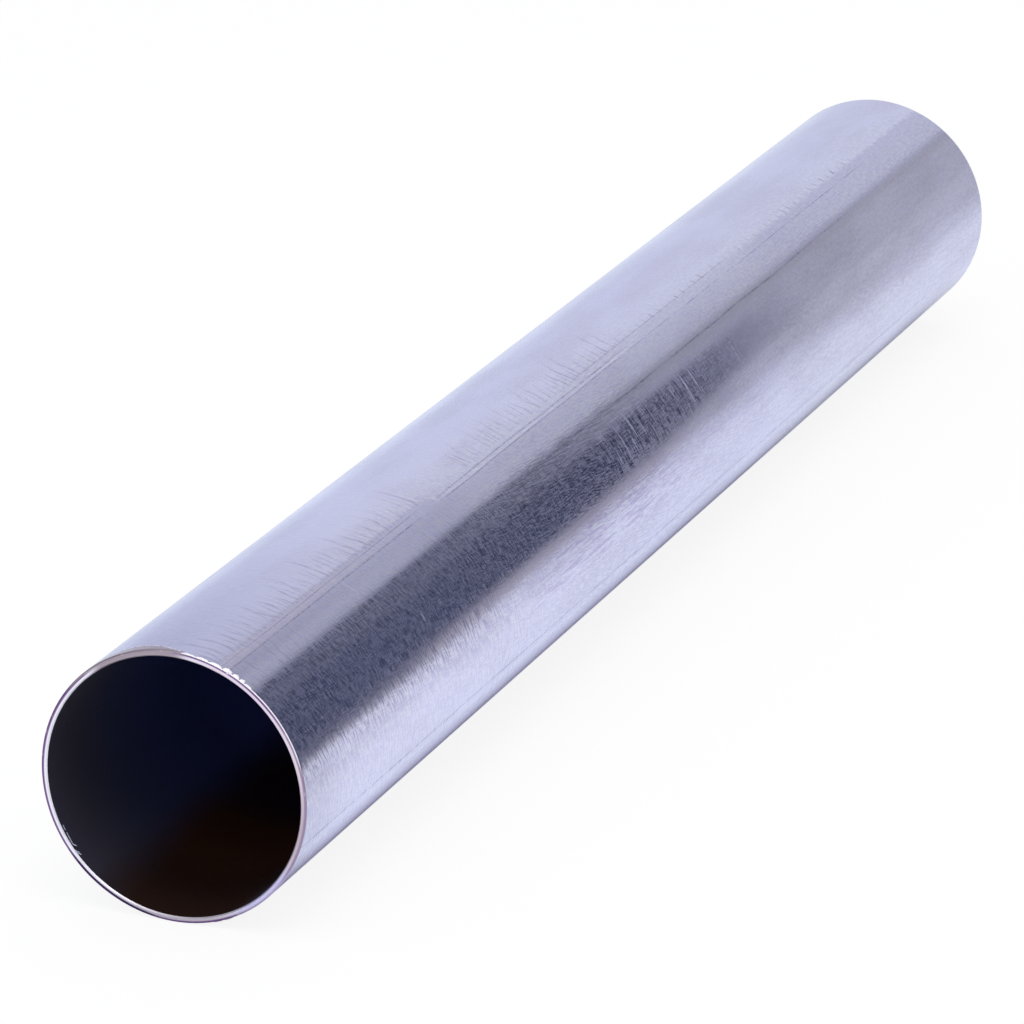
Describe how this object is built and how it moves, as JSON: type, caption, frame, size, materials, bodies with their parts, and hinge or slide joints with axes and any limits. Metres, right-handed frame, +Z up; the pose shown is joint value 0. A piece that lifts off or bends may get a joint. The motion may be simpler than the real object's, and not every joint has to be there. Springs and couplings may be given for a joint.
{
  "type": "steel conduit pipe",
  "caption": "Straight thin-walled round steel conduit pipe with a longitudinal weld seam and square-cut ends.",
  "frame": {"origin": "on the floor under the middle of the pipe, which lies on its side", "axes": "+Y along the pipe, with the end shown nearest at -Y; +Z up"},
  "size_m": [0.05, 0.38, 0.05],
  "materials": {
    "galvanised_steel": "satin zinc with fine draw marks outside, dark enamel inside"
  },
  "bodies": {
    "root": {"pipe": "galvanised_steel"}
  },
  "joints": []
}
